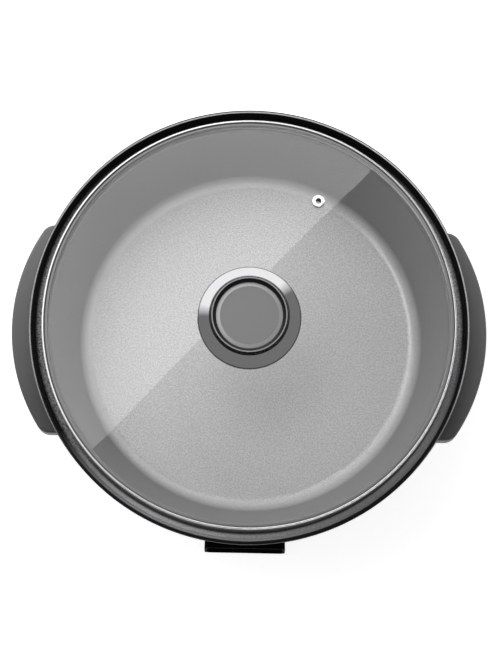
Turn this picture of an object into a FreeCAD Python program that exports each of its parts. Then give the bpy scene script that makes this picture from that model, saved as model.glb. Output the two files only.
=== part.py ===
import FreeCAD, Part
import math
import os

# Round electric hot pot: a cast aluminium pan on two handle mouldings with legs, a socket guard
# for a plug-in thermostat at the front, and a lift-off glass lid with a steel rim and a knob.
# Millimetres. +Z is up, the table is Z = 0, the pan's axis is X = Y = 0, the guard faces -Y.

Vector = FreeCAD.Vector
UP = Vector(0, 0, 1)
FORWARD = Vector(0, -1, 0)
over = 1.0                   # how far a cutting or joining shape runs past a face
same = 1e-6                  # lengths closer than this are equal
edge_round = 0.3             # small rounding on sheet and moulded edges

# pan casting
rim_radius = 210.0
pan_depth = 97.0             # lip crest down to the cooking floor
base_clearance = 17.0        # table to the lowest point of the casting
wall_angle = 17.1            # lean of the side wall from vertical, degrees
wall_thickness = 3.2
floor_thickness = 4.5
floor_fillet = 14.0
lip_height = 9.0             # lid ledge up to the lip crest
lip_foot_width = 6.8
lip_crest_width = 3.4
lip_round = 1.6
rim_draft = 0.9
ledge_width = 13.2
ledge_thickness = 4.2
ledge_round = 3.0

# heating element and the casting around it
element_ring_radius = 112.0
element_sheath_radius = 4.0
element_bend_radius = 14.0
element_cover = 1.6          # metal left under the sheath
element_roof = 1.0           # metal between the sheath and the floor's lower face
element_fit = 0.1
ridge_top_width = 20.0
ridge_bottom_width = 14.0
ridge_round = 2.5
ridge_opening_angle = 34.0
block_ring_width = 72.0      # terminal block where it leaves the ridge
block_front_width = 48.0
block_shoulder = 9.0         # length over which the block narrows
block_round = 3.0

# plug-in terminals
pin_pitch = 24.0
pin_radius = 2.5
pin_root_radius = 2.0        # where the pin passes through its insulator
pin_length = 26.0
pin_tip_chamfer = 0.8
sheath_stub = 5.0            # bare sheath in front of the guard's back wall
insulator_radius = 3.6
insulator_length = 5.0
insulator_chamfer = 0.6
insulator_pin_fit = 0.1
sleeve_outer_radius = 5.0
sleeve_bore_radius = 3.3
sleeve_length = 46.0
sleeve_reach = 9.0           # sleeve in front of the guard's back wall
sleeve_end_wall = 3.0
sleeve_mouth_chamfer = 0.6
sleeve_fit = 0.1

# socket guard
guard_width = 78.0
guard_height = 38.0
guard_wall = 2.6
guard_setback = 7.0          # mouth behind the pan's rim
guard_corner = 6.0
guard_draft = 1.5            # each side, back to mouth
guard_back_setback = 6.0     # back wall behind the casting's lower edge
guard_lip = 1.6              # bead around the mouth
guard_lip_length = 4.0
guard_gap = 0.3
guard_boss_radius = 6.0
guard_boss_drop = 3.0
guard_boss_spacing = 72.0
guard_ear_thickness = 3.0
guard_ear_length = 20.0
guard_ear_width = 16.0
guard_screw_radius = 2.0
guard_screw_head_radius = 3.8
guard_screw_head_height = 2.4
guard_screw_length = 10.0
plate_thickness = 1.0        # earth plate on the back wall
plate_width = 58.0
plate_height = 17.0
plate_drop = 2.0             # plate's middle below the pins
plate_corner = 3.0
plate_hole_fit = 0.4

# handle mouldings
handle_reach = 18.4          # beyond the rim
handle_arc_radius = 178.0
handle_half_length = 101.5
handle_corner = 14.0
handle_drop = 38.0           # lip crest down to the handle's top face
handle_depth = 24.0          # top face down to the lower edge of the lip
handle_draft = 1.2
handle_wall = 3.6
handle_top_thickness = 4.0
handle_edge_round = 2.6
handle_pan_gap = 0.9
rib_thickness = 2.4
rib_height = 13.0

# handle fixings
pad_half_width = 7.5         # cast lugs on the pan's wall that sink into the handles
pad_rise = 5.0               # lug above the handle's top face
pad_sink = 6.0               # lug below it
pad_gap = 0.5
pad_axis_inset = 10.0        # from the rim's radius in to the screws' axes
pad_offset = 52.0            # along Y from the middle of the handle
pad_reach = 24.0             # from the screw's axis back into the pan's wall
seat_thickness = 5.0         # handle material under a pad
seat_half_width = 13.0
seat_wall = 4.0              # moulding in front of the pad's pocket
screw_radius = 2.5
screw_head_radius = 4.5
screw_head_height = 3.4
screw_thread_length = 9.0
screw_tip_gap = 1.0
screw_hole_gap = 0.3
thread_gap = 0.05
washer_radius = 5.5
washer_thickness = 1.0
washer_hole_gap = 0.15
washer_well_gap = 0.5
drive_radius = 1.9
drive_depth = 1.8

# legs and feet
leg_width = 26.0
leg_foot_width = 19.0
leg_depth = 18.0
leg_foot_depth = 15.0
leg_lean = 7.0               # foot towards the pan's axis
leg_end_inset = 8.0          # leg from the handle's end face
leg_flare_width = 8.0        # added at the top, towards the middle of the handle
leg_flare_depth = 7.0        # added at the top, away from the pan
leg_flare_power = 4          # how fast the flare dies out downwards
leg_stations = 7
leg_wall = 3.4
leg_corner = 3.0
foot_pad_thickness = 3.0
foot_pad_inset = 1.5
foot_pad_corner = 3.0
foot_stem_radius = 2.4
foot_stem_gap = 0.1
foot_head_radius = 3.4
foot_head_tip_radius = 1.5
foot_head_height = 2.0
foot_head_gap = 0.2

# lid
lid_gap = 5.9                # lip foot to the steel rim
lid_rim_height = 21.4
lid_sheet = 0.8
lid_bead_width = 2.4         # raised outer bead
lid_bead_round = 1.1
lid_bead_height = 1.2        # above the flange
lid_flange = 5.3
lid_flange_roll = 1.2        # width of the flange's rolled inner edge
lid_flange_roll_height = 0.5
lid_flange_round = 0.45
lid_hem = 4.4
lid_hem_round = 1.2
lid_shelf_width = 3.0
lid_fold_round = 0.7
glass_thickness = 4.0
glass_rise = 32.0
glass_edge_gap = 0.5
glass_edge_round = 1.2
glass_seat_gap = 0.2
vent_distance = 132.5
vent_bearing = 61.4          # degrees from +X
vent_hole_radius = 4.0
vent_tube_radius = 3.5
vent_bore_radius = 2.4
vent_flange_radius = 6.3
vent_flange_height = 1.5
vent_flange_round = 0.7
vent_seat_gap = 0.15
vent_tail = 1.2              # tube left below the gasket
vent_gasket_thickness = 0.8
vent_gasket_radius = 5.3
vent_gasket_fit = 0.1

# knob
knob_skirt_reach = 10.6      # beyond the grip
knob_skirt_rise = 10.7
knob_skirt_sheet = 0.8
knob_skirt_gap = 0.4
knob_skirt_roll = 1.4        # height of the rolled edge
knob_skirt_shoulder = 3.1    # beyond the grip, where the seat would meet the flare
knob_skirt_round = 11.5      # bend between seat and flare
knob_radius = 38.4           # at its widest
knob_height = 9.9
knob_waist = 2.4             # narrower where it meets the skirt
knob_widest_height = 4.0
knob_side_round = 1.6
knob_crest_radius = 35.2     # middle of the raised lip
knob_crest_width = 2.2
knob_crest_round = 0.9
knob_recess_radius = 31.9
knob_recess_depth = 6.0
knob_recess_wall = 2.5       # upright wall around the cap
knob_cap_gap = 0.3
knob_cap_thickness = 1.8
knob_cap_bevel = 3.9
knob_cap_bevel_drop = 0.9
knob_boss_radius = 9.0       # spigot through the skirt into the spacer
knob_boss_depth = 4.0
knob_boss_gap = 0.3
knob_spacer_radius = 15.0
knob_spacer_taper = 2.0
knob_spacer_round = 0.8
knob_bolt_radius = 2.5
knob_bolt_room = 0.9         # around the bolt in the spacer and in the gasket
knob_bolt_hole_radius = 4.5  # in the glass
knob_bolt_head_radius = 4.8
knob_bolt_head_height = 3.2
knob_bolt_tip_gap = 0.3
knob_insert_radius = 4.2
knob_insert_length = 5.0
knob_insert_fit = 0.05
knob_washer_radius = 9.0
knob_washer_thickness = 1.0
knob_washer_gap = 0.2
knob_gasket_radius = 11.0
knob_gasket_thickness = 1.4
knob_gasket_seat_gap = 0.25
knob_gasket_side_gap = 0.3   # sleeve of the gasket to the glass's hole
knob_gasket_top_gap = 0.5    # sleeve of the gasket below the glass's top face

# heights and radii that follow from the sizes above
sheath_z = base_clearance + element_cover + element_sheath_radius
floor_under_z = sheath_z + element_sheath_radius + element_roof
floor_z = floor_under_z + floor_thickness
crest_z = floor_z + pan_depth
ledge_z = crest_z - lip_height
rim_under_z = ledge_z - ledge_thickness
lean = math.tan(math.radians(wall_angle))
lip_foot_radius = rim_radius - lip_foot_width
ledge_inner_radius = lip_foot_radius - ledge_width
floor_corner_radius = ledge_inner_radius - (ledge_z - floor_z) * lean
wall_across = wall_thickness / math.cos(math.radians(wall_angle))
outer_fillet = floor_fillet + wall_thickness

handle_top_z = crest_z - handle_drop
handle_low_z = handle_top_z - handle_depth
handle_ceiling_z = handle_top_z - handle_top_thickness
handle_centre_x = rim_radius + handle_reach - handle_arc_radius
pad_low_z = handle_top_z - pad_sink
pad_top_z = handle_top_z + pad_rise
pad_axis_radius = rim_radius - pad_axis_inset
pad_x = math.sqrt(pad_axis_radius ** 2 - pad_offset ** 2)
seat_low_z = pad_low_z - seat_thickness

guard_mid_z = sheath_z
guard_mouth_y = guard_setback - rim_radius


def wall_outer_radius(z):
    """Radius of the pan's outer wall face at a height."""
    return floor_corner_radius + (z - floor_z) * lean + wall_across


lower_edge_radius = wall_outer_radius(floor_under_z)
handle_inner_radius = wall_outer_radius(handle_top_z) + handle_pan_gap
guard_back_y = -(lower_edge_radius - guard_back_setback)

lid_radius = lip_foot_radius - lid_gap
glass_radius = lid_radius - lid_sheet - glass_edge_gap
glass_dome_radius = (glass_radius ** 2 + glass_rise ** 2) / (2 * glass_rise)
lid_top_z = ledge_z + lid_rim_height
glass_edge_slope = glass_radius / glass_dome_radius
flange_top_z = lid_top_z - lid_bead_height
flange_under_z = flange_top_z - lid_sheet
glass_edge_z = flange_under_z - lid_flange * glass_edge_slope - glass_seat_gap
glass_top_z = glass_edge_z + glass_rise


def glass_z(radius):
    """Height of the glass's upper face at a distance from the axis."""
    drop = glass_dome_radius - math.sqrt(glass_dome_radius ** 2 - radius ** 2)
    return glass_top_z - drop


def corner_arc(before, corner, after, radius):
    """Ends and middle of the arc that rounds a corner."""
    to_before = (before - corner).normalize()
    to_after = (after - corner).normalize()
    half = to_before.getAngle(to_after) / 2
    reach = radius / math.tan(half)
    middle_way = (to_before + to_after).normalize()
    centre = corner + middle_way * (radius / math.sin(half))
    start = corner + to_before * reach
    end = corner + to_after * reach
    return start, centre - middle_way * radius, end


def rounded_loop(corners):
    """Closed wire through (point, radius) corners, each rounded by its radius."""
    count = len(corners)
    arcs = []
    for index, (corner, radius) in enumerate(corners):
        before = corners[index - 1][0]
        after = corners[(index + 1) % count][0]
        if radius > 0:
            arcs.append(corner_arc(before, corner, after, radius))
        else:
            arcs.append((corner, None, corner))
    edges = []
    for index, (start, middle, end) in enumerate(arcs):
        if middle is not None:
            edges.append(Part.Arc(start, middle, end).toShape())
        next_start = arcs[(index + 1) % count][0]
        if (next_start - end).Length > same:
            edges.append(Part.LineSegment(end, next_start).toShape())
    return Part.Wire(edges)


def turned(profile):
    """Solid of revolution about the pan's axis from (radius, z, rounding) corners."""
    corners = [(Vector(r, 0, z), rounding) for r, z, rounding in profile]
    return Part.Face(rounded_loop(corners)).revolve(Vector(0, 0, 0), UP, 360)


def plan_loop(points, z):
    """Closed wire in a level plane from (x, y, rounding) corners."""
    return rounded_loop([(Vector(x, y, z), rounding) for x, y, rounding in points])


def raised(points, low, high):
    """Prism from (x, y, rounding) corners between two heights."""
    return Part.Face(plan_loop(points, low)).extrude(Vector(0, 0, high - low))


def post(radius, x, y, low, high):
    """Upright cylinder between two heights."""
    return Part.makeCylinder(radius, high - low, Vector(x, y, low), UP)


def rod(radius, x, z, start_y, end_y):
    """Cylinder that runs forward, towards -Y."""
    return Part.makeCylinder(radius, start_y - end_y, Vector(x, start_y, z), FORWARD)


def mirrored(shape):
    """The same shape on the other side of the pan."""
    return shape.mirror(Vector(0, 0, 0), Vector(1, 0, 0))


def group(shapes):
    """Several separate solids in one node."""
    return Part.makeCompound(shapes)


def round_edges(shape):
    """Circular edges of a shape, without the points where a face closes on its axis."""
    whole = [edge for edge in shape.Edges if not edge.Degenerated]
    return [edge for edge in whole if edge.Curve.TypeId == "Part::GeomCircle"]


# ---- pan ----

def pan_shell():
    """The bowl with its lid ledge and lip, as turned from one section."""
    crest_inner = rim_radius - lip_crest_width
    profile = [
        (0, floor_z, 0),
        (floor_corner_radius, floor_z, floor_fillet),
        (ledge_inner_radius, ledge_z, ledge_round),
        (lip_foot_radius, ledge_z, lip_round / 2),
        (crest_inner, crest_z, lip_round),
        (rim_radius, crest_z, lip_round),
        (rim_radius - rim_draft, rim_under_z, lip_round),
        (wall_outer_radius(rim_under_z), rim_under_z, ledge_round),
        (lower_edge_radius, floor_under_z, outer_fillet),
        (0, floor_under_z, 0),
    ]
    return turned(profile)


def wall_envelope(gap):
    """Everything inside the pan's outer face, grown by a gap, up to the rim's underside."""
    across = gap / math.cos(math.radians(wall_angle))
    low_z = floor_under_z - gap
    profile = [
        (0, low_z, 0),
        (wall_outer_radius(low_z) + across, low_z, outer_fillet + gap),
        (wall_outer_radius(rim_under_z) + across, rim_under_z, 0),
        (0, rim_under_z, 0),
    ]
    return turned(profile)


def element_ridge():
    """Ridge under the floor that the element is cast into, open towards the terminals."""
    section = [
        (Vector(element_ring_radius - ridge_top_width / 2, 0, floor_under_z + over), 0),
        (Vector(element_ring_radius - ridge_bottom_width / 2, 0, base_clearance), ridge_round),
        (Vector(element_ring_radius + ridge_bottom_width / 2, 0, base_clearance), ridge_round),
        (Vector(element_ring_radius + ridge_top_width / 2, 0, floor_under_z + over), 0),
    ]
    ridge = Part.Face(rounded_loop(section)).revolve(
        Vector(0, 0, 0), UP, 360 - ridge_opening_angle
    )
    ridge.rotate(Vector(0, 0, 0), UP, -90 + ridge_opening_angle / 2)
    return ridge


def terminal_block():
    """Cast block that carries the element's ends and the thermostat sleeve to the front."""
    inner_y = -(element_ring_radius - ridge_top_width / 2)
    waist_y = -(element_ring_radius + element_bend_radius + ridge_top_width / 2)
    front_y = guard_back_y + guard_gap
    points = [
        (-block_ring_width / 2, inner_y, block_round),
        (block_ring_width / 2, inner_y, block_round),
        (block_ring_width / 2, waist_y + block_shoulder, block_round),
        (block_front_width / 2, waist_y, block_round),
        (block_front_width / 2, front_y, block_round),
        (-block_front_width / 2, front_y, block_round),
        (-block_front_width / 2, waist_y, block_round),
        (-block_ring_width / 2, waist_y + block_shoulder, block_round),
    ]
    return raised(points, base_clearance, floor_under_z + over)


def handle_pad(x_side, y_side, grow, low, high):
    """Lug on the wall that sinks into the handle; grow gives the pocket around it."""
    half = pad_half_width + grow
    middle_y = pad_offset * y_side
    corner = Vector(pad_x - pad_reach, middle_y - half, low)
    bar = Part.makeBox(pad_reach, 2 * half, high - low, corner)
    pad = bar.fuse(post(half, pad_x, middle_y, low, high)).removeSplitter()
    return pad if x_side > 0 else mirrored(pad)


def inside_pan():
    """The cooking space as a solid, to keep added metal out of it."""
    profile = [
        (0, floor_z, 0),
        (floor_corner_radius, floor_z, floor_fillet),
        (ledge_inner_radius + over * lean, ledge_z + over, 0),
        (0, ledge_z + over, 0),
    ]
    return turned(profile)


def guard_screw_sites():
    """Where the guard's two ears are screwed up into the pan."""
    y = guard_back_y + guard_ear_length / 2
    return [(-guard_boss_spacing / 2, y), (guard_boss_spacing / 2, y)]


def make_pan_body():
    body = pan_shell().fuse(element_ridge())
    body = body.fuse(terminal_block())
    pads = []
    for x_side in (-1, 1):
        for y_side in (-1, 1):
            pads.append(handle_pad(x_side, y_side, 0, pad_low_z, pad_top_z))
    body = body.fuse([pad.cut(inside_pan()) for pad in pads])
    boss_low = floor_under_z - guard_boss_drop
    for x, y in guard_screw_sites():
        body = body.fuse(post(guard_boss_radius, x, y, boss_low, floor_under_z + over))
    body = body.cut(element_path(element_sheath_radius + element_fit))
    sleeve_back = guard_back_y - sleeve_reach + sleeve_length
    body = body.cut(rod(sleeve_outer_radius + sleeve_fit, 0, sheath_z, sleeve_back, guard_back_y))
    for x_side in (-1, 1):
        for y_side in (-1, 1):
            x = pad_x * x_side
            y = pad_offset * y_side
            top = pad_low_z + screw_thread_length
            body = body.cut(post(screw_radius + thread_gap, x, y, pad_low_z, top))
    depth = guard_screw_length - guard_ear_thickness
    for x, y in guard_screw_sites():
        hole = post(guard_screw_radius + thread_gap, x, y, boss_low, boss_low + depth)
        body = body.cut(hole)
    return body.removeSplitter()


# ---- heating element and terminals ----

def element_path(radius):
    """Tube along the element: a long ring whose ends turn forward side by side."""
    line_x = pin_pitch / 2
    bend_x = line_x + element_bend_radius
    bend_distance = element_ring_radius + element_bend_radius
    bend_y = -math.sqrt(bend_distance ** 2 - bend_x ** 2)
    share = element_ring_radius / bend_distance
    end_y = guard_back_y - guard_wall - sheath_stub
    bearing = math.atan2(share * bend_y - bend_y, share * bend_x - bend_x)
    middle_bearing = (bearing + math.pi) / 2
    middle_x = bend_x + element_bend_radius * math.cos(middle_bearing)
    middle_y = bend_y + element_bend_radius * math.sin(middle_bearing)
    edges = []
    right_end = Vector(line_x, end_y, sheath_z)
    right_straight = Vector(line_x, bend_y, sheath_z)
    right_ring = Vector(share * bend_x, share * bend_y, sheath_z)
    left_ring = Vector(-share * bend_x, share * bend_y, sheath_z)
    left_straight = Vector(-line_x, bend_y, sheath_z)
    left_end = Vector(-line_x, end_y, sheath_z)
    back = Vector(0, element_ring_radius, sheath_z)
    edges.append(Part.LineSegment(right_end, right_straight).toShape())
    right_bend = Vector(middle_x, middle_y, sheath_z)
    edges.append(Part.Arc(right_straight, right_bend, right_ring).toShape())
    edges.append(Part.Arc(right_ring, back, left_ring).toShape())
    left_bend = Vector(-middle_x, middle_y, sheath_z)
    edges.append(Part.Arc(left_ring, left_bend, left_straight).toShape())
    edges.append(Part.LineSegment(left_straight, left_end).toShape())
    section = Part.Wire(Part.Circle(right_end, FORWARD, radius).toShape())
    return Part.Wire(edges).makePipeShell([section], True, False)


def make_heating_element():
    return element_path(element_sheath_radius)


def terminal_back_y():
    """Where the bare sheath ends and the insulators begin."""
    return guard_back_y - guard_wall - sheath_stub


def make_insulator(x_side):
    start = terminal_back_y()
    x = x_side * pin_pitch / 2
    bead = rod(insulator_radius, x, sheath_z, start, start - insulator_length)
    bead = bead.makeChamfer(insulator_chamfer, round_edges(bead))
    bore_radius = pin_root_radius + insulator_pin_fit
    return bead.cut(rod(bore_radius, x, sheath_z, start, start - insulator_length))


def make_terminal_pin(x_side):
    """Contact pin, with a thinner root inside its insulator."""
    back_y = terminal_back_y()
    shoulder_y = back_y - insulator_length
    tip_y = shoulder_y - pin_length
    x = x_side * pin_pitch / 2
    pin = rod(pin_radius, x, sheath_z, shoulder_y, tip_y)
    tip = [edge for edge in pin.Edges if abs(edge.CenterOfMass.y - tip_y) < same]
    pin = pin.makeChamfer(pin_tip_chamfer, tip)
    return pin.fuse(rod(pin_root_radius, x, sheath_z, back_y, shoulder_y))


def make_probe_sleeve():
    front = guard_back_y - sleeve_reach
    back = front + sleeve_length
    tube = rod(sleeve_outer_radius, 0, sheath_z, back, front)
    bore = rod(sleeve_bore_radius, 0, sheath_z, back - sleeve_end_wall, front)
    tube = tube.cut(bore)
    mouth = [
        edge
        for edge in round_edges(tube)
        if abs(edge.CenterOfMass.y - front) < same
        and abs(edge.Curve.Radius - sleeve_bore_radius) < same
    ]
    return tube.makeChamfer(sleeve_mouth_chamfer, mouth)


# ---- socket guard ----

def guard_section(y, width, height, corner):
    """Rounded rectangle across the guard."""
    corners = []
    for x_side, z_side in ((-1, -1), (1, -1), (1, 1), (-1, 1)):
        x = x_side * width / 2
        z = guard_mid_z + z_side * height / 2
        corners.append((Vector(x, y, z), corner))
    return rounded_loop(corners)


def guard_body(shrink, back_y, front_y):
    """Tapered hood between two stations, shrunk all round for its inside."""
    back_width = guard_width - 2 * guard_draft - 2 * shrink
    back_height = guard_height - 2 * guard_draft - 2 * shrink
    corner = guard_corner - shrink
    back = guard_section(back_y, back_width, back_height, corner)
    front = guard_section(
        front_y, guard_width - 2 * shrink, guard_height - 2 * shrink, corner
    )
    return Part.makeLoft([back, front], True)


def guard_ear(x, y):
    """Round-ended ear that lies under a boss of the pan."""
    top = floor_under_z - guard_boss_drop
    low = top - guard_ear_thickness
    half = guard_ear_width / 2
    front_y = guard_back_y - guard_wall
    corner = Vector(x - half, front_y, low)
    bar = Part.makeBox(guard_ear_width, y - front_y, guard_ear_thickness, corner)
    return bar.fuse(post(half, x, y, low, top)).removeSplitter()


def make_socket_guard():
    hood = guard_body(0, guard_back_y, guard_mouth_y)
    bead_start = guard_mouth_y + guard_lip_length
    bead_back = guard_section(
        bead_start + guard_lip, guard_width - 2 * guard_lip, guard_height - 2 * guard_lip,
        guard_corner - guard_lip,
    )
    inside = guard_body(guard_wall, guard_back_y - guard_wall, guard_mouth_y - over)
    hood = hood.cut(inside)
    groove = Part.makeLoft(
        [
            bead_back,
            guard_section(
                bead_start, guard_width + 2 * over, guard_height + 2 * over, guard_corner
            ),
        ],
        True,
    )
    groove_keep = guard_body(guard_lip / 2, guard_back_y, guard_mouth_y)
    hood = hood.cut(groove.cut(groove_keep))
    for x, y in guard_screw_sites():
        hood = hood.fuse(guard_ear(x, y))
    hood = hood.cut(wall_envelope(guard_gap))
    for x, y in guard_screw_sites():
        hole_radius = guard_screw_radius + screw_hole_gap
        hood = hood.cut(post(hole_radius, x, y, 0, floor_under_z))
    behind = guard_back_y + over
    ahead = guard_back_y - guard_wall - over
    for x in (-pin_pitch / 2, pin_pitch / 2):
        hole = rod(element_sheath_radius + plate_hole_fit, x, sheath_z, behind, ahead)
        hood = hood.cut(hole)
    hood = hood.cut(rod(sleeve_outer_radius + plate_hole_fit, 0, sheath_z, behind, ahead))
    return hood.removeSplitter()


def make_earth_plate():
    """Steel plate on the inside of the guard's back wall, earthed to the sleeve."""
    back = guard_back_y - guard_wall
    front = back - plate_thickness
    corners = []
    for x_side, z_side in ((-1, -1), (1, -1), (1, 1), (-1, 1)):
        x = x_side * plate_width / 2
        z = sheath_z - plate_drop + z_side * plate_height / 2
        corners.append((Vector(x, back, z), plate_corner))
    plate = Part.Face(rounded_loop(corners)).extrude(FORWARD * plate_thickness)
    for x in (-pin_pitch / 2, pin_pitch / 2):
        hole_radius = element_sheath_radius + plate_hole_fit
        plate = plate.cut(rod(hole_radius, x, sheath_z, back + over, front - over))
    hole_radius = sleeve_outer_radius + sleeve_fit
    return plate.cut(rod(hole_radius, 0, sheath_z, back + over, front - over))


def pan_head_screw(x, y, seat_z, radius, length, head_radius, head_height):
    """Screw driven upwards: its head hangs below the seat and its shank stands above."""
    shank = post(radius, x, y, seat_z, seat_z + length)
    tip = [edge for edge in shank.Edges if abs(edge.CenterOfMass.z - seat_z - length) < same]
    shank = shank.makeChamfer(radius / 5, tip)
    head = post(head_radius, x, y, seat_z - head_height, seat_z)
    rim = [
        edge
        for edge in head.Edges
        if abs(edge.CenterOfMass.z - seat_z + head_height) < same
    ]
    head = head.makeFillet(head_height / 3, rim)
    drive = post(drive_radius, x, y, seat_z - head_height, seat_z - head_height + drive_depth)
    return head.cut(drive).fuse(shank).removeSplitter()


def make_guard_screws():
    seat = floor_under_z - guard_boss_drop - guard_ear_thickness
    screws = []
    for x, y in guard_screw_sites():
        screws.append(
            pan_head_screw(
                x, y, seat, guard_screw_radius, guard_screw_length,
                guard_screw_head_radius, guard_screw_head_height,
            )
        )
    return group(screws)


# ---- handle mouldings ----

def crescent(inset, z):
    """Level outline of a handle: outer arc, rounded corners, straight ends, inner arc."""
    outer = handle_arc_radius - inset
    inner = handle_inner_radius + inset
    half = handle_half_length - inset
    corner = handle_corner - inset
    corner_y = half - corner
    corner_x = handle_centre_x + math.sqrt((outer - corner) ** 2 - corner_y ** 2)
    bearing = math.atan2(corner_y, corner_x - handle_centre_x)
    inner_x = math.sqrt(inner ** 2 - half ** 2)
    middle_bearing = (bearing + math.pi / 2) / 2
    edges = []
    arc_end_x = handle_centre_x + outer * math.cos(bearing)
    arc_end_y = outer * math.sin(bearing)
    round_x = corner_x + corner * math.cos(middle_bearing)
    round_y = corner_y + corner * math.sin(middle_bearing)
    nose = Vector(handle_centre_x + outer, 0, z)
    hollow = Vector(inner, 0, z)
    edges.append(
        Part.Arc(Vector(arc_end_x, -arc_end_y, z), nose, Vector(arc_end_x, arc_end_y, z))
    )
    edges.append(
        Part.Arc(
            Vector(arc_end_x, arc_end_y, z), Vector(round_x, round_y, z), Vector(corner_x, half, z)
        )
    )
    edges.append(Part.LineSegment(Vector(corner_x, half, z), Vector(inner_x, half, z)))
    edges.append(Part.Arc(Vector(inner_x, half, z), hollow, Vector(inner_x, -half, z)))
    edges.append(Part.LineSegment(Vector(inner_x, -half, z), Vector(corner_x, -half, z)))
    edges.append(
        Part.Arc(
            Vector(corner_x, -half, z), Vector(round_x, -round_y, z),
            Vector(arc_end_x, -arc_end_y, z),
        )
    )
    return Part.Wire([edge.toShape() for edge in edges])


def handle_block(inset, low, high):
    """Drafted crescent block between two heights; the draft follows the full depth."""
    top_inset = inset + handle_draft * (handle_top_z - high) / handle_depth
    low_inset = inset + handle_draft * (handle_top_z - low) / handle_depth
    return Part.makeLoft([crescent(low_inset, low), crescent(top_inset, high)], True)


def leg_loop(z, inset, reach_in):
    """Level section of a leg: tapered to the foot, flared into the handle at its top."""
    share = (handle_ceiling_z - z) / (handle_ceiling_z - foot_pad_thickness)
    flare = (1 - share) ** leg_flare_power
    width = leg_width + (leg_foot_width - leg_width) * share
    depth = leg_depth + (leg_foot_depth - leg_depth) * share
    end_y = handle_half_length - leg_end_inset
    near_y = end_y - leg_width
    middle_y = (end_y + near_y) / 2
    wall_x = math.sqrt(handle_inner_radius ** 2 - near_y ** 2) - leg_lean * share
    inner_x = wall_x - reach_in
    outer_x = wall_x + depth + leg_flare_depth * flare - inset
    low_y = middle_y - width / 2 - leg_flare_width * flare + inset
    high_y = middle_y + width / 2 - inset
    inner_round = 0 if reach_in else leg_corner
    outer_round = leg_corner - inset if leg_corner > inset + edge_round else edge_round
    points = [
        (inner_x, low_y, inner_round),
        (outer_x, low_y, outer_round),
        (outer_x, high_y, outer_round),
        (inner_x, high_y, inner_round),
    ]
    return plan_loop(points, z)


def leg_loft(low, high, inset, reach_in):
    """Smooth loft of a leg's sections between two heights."""
    sections = []
    for station in range(leg_stations):
        z = low + (high - low) * station / (leg_stations - 1)
        sections.append(leg_loop(z, inset, reach_in))
    return Part.makeLoft(sections, True)


def foot_centre():
    """Middle of a leg's foot, for the leg on the +X, +Y side."""
    end_y = handle_half_length - leg_end_inset
    near_y = end_y - leg_width
    inner_x = math.sqrt(handle_inner_radius ** 2 - near_y ** 2) - leg_lean
    return inner_x + leg_foot_depth / 2, (end_y + near_y) / 2


def leg_limit():
    """Upright block within the handle's outline, so that no leg shows from above."""
    inset = handle_draft + edge_round
    height = handle_ceiling_z - foot_pad_thickness
    block = Part.Face(crescent(inset, foot_pad_thickness)).extrude(UP * height)
    half = handle_half_length - inset
    corner = Vector(0, -half, foot_pad_thickness)
    return block.fuse(Part.makeBox(handle_inner_radius, 2 * half, height, corner))


def make_leg():
    """Hollow leg, open towards the pan, with a sole plate for its rubber foot."""
    low = foot_pad_thickness
    leg = leg_loft(low, handle_ceiling_z, 0, 0).common(leg_limit())
    sole_top = low + leg_wall
    hollow_top = seat_low_z - leg_wall
    leg = leg.cut(leg_loft(sole_top, hollow_top, leg_wall, over))
    x, y = foot_centre()
    return leg.cut(post(foot_stem_radius + foot_stem_gap, x, y, low - over, sole_top + over))


def handle_ribs():
    """Cross ribs under the top face, between the finger space and the screws."""
    ribs = []
    x = pad_x - pad_reach
    length = rim_radius + handle_reach - x
    for y in (-pad_offset + seat_half_width, pad_offset - seat_half_width):
        low = handle_ceiling_z - rib_height
        corner = Vector(x, y - rib_thickness / 2, low)
        ribs.append(Part.makeBox(length, rib_thickness, rib_height + over, corner))
    return ribs


def make_handle():
    """The +X handle: drafted crescent shell, pad seats, ribs and two legs."""
    skin = handle_block(0, handle_low_z, handle_top_z)
    top_edges = []
    for edge in skin.Edges:
        middle = edge.CenterOfMass
        on_top = abs(middle.z - handle_top_z) < same
        on_inner_arc = (
            edge.Curve.TypeId == "Part::GeomCircle"
            and abs(edge.Curve.Radius - handle_inner_radius) < same
        )
        if on_top and not on_inner_arc:
            top_edges.append(edge)
    skin = skin.makeFillet(handle_edge_round, top_edges)
    hollow = handle_block(handle_wall, handle_low_z - over, handle_ceiling_z)
    inner_fill = handle_block(handle_wall / 2, handle_low_z, handle_ceiling_z + over)
    additions = []
    for y_side in (-1, 1):
        corner = Vector(pad_x - pad_reach, pad_offset * y_side - seat_half_width, seat_low_z)
        seat = Part.makeBox(
            pad_reach + pad_half_width + seat_wall,
            2 * seat_half_width,
            handle_ceiling_z + over - seat_low_z,
            corner,
        )
        additions.append(seat.common(inner_fill))
    for rib in handle_ribs():
        additions.append(rib.common(inner_fill))
    handle = skin.cut(hollow)
    handle = handle.fuse(additions)
    leg = make_leg()
    far_leg = leg.mirror(Vector(0, 0, 0), Vector(0, 1, 0))
    handle = handle.fuse([leg, far_leg])
    for y_side in (-1, 1):
        handle = handle.cut(handle_pad(1, y_side, pad_gap, pad_low_z, handle_top_z + over))
        hole_radius = screw_radius + screw_hole_gap
        y = pad_offset * y_side
        handle = handle.cut(post(hole_radius, pad_x, y, seat_low_z - over, pad_low_z + over))
        well_radius = washer_radius + washer_well_gap
        handle = handle.cut(post(well_radius, pad_x, y, handle_low_z - over, seat_low_z))
    return handle.removeSplitter()


def make_handle_screws(x_side):
    screws = []
    seat = seat_low_z - washer_thickness
    length = pad_low_z + screw_thread_length - screw_tip_gap - seat
    for y_side in (-1, 1):
        screws.append(
            pan_head_screw(
                pad_x * x_side, pad_offset * y_side, seat, screw_radius, length,
                screw_head_radius, screw_head_height,
            )
        )
    return group(screws)


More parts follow.
